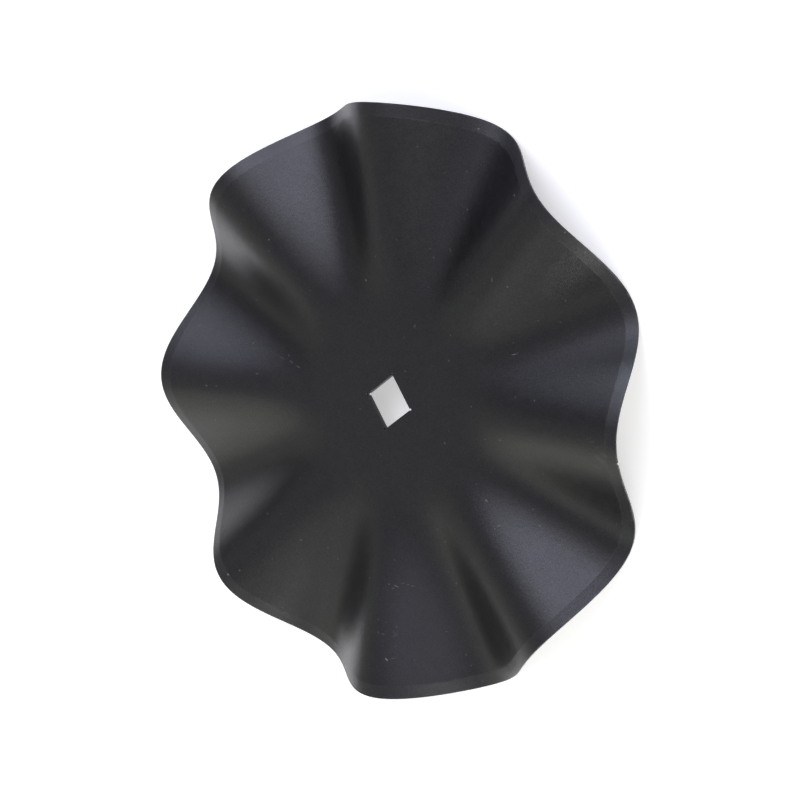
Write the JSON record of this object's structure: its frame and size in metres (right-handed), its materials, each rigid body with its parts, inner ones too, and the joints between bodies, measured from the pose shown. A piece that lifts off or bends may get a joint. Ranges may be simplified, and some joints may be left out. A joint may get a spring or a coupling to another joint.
{
  "type": "wavy disc blade",
  "caption": "Round steel disc blade with a flat middle, a square axle hole, radial waves that grow out to the rim and a bevelled cutting edge.",
  "frame": {"origin": "middle of the square axle hole, half way through the sheet", "axes": "+Z is the blade's axis and points to the upper face, whose bevel is the shallower of the two; X and Y are square to the sides of the axle hole"},
  "size_m": [0.46, 0.46, 0.0466],
  "materials": {
    "black_paint": "satin black paint with light scuffs"
  },
  "bodies": {
    "root": {"disc_blade": "black_paint"}
  },
  "joints": []
}
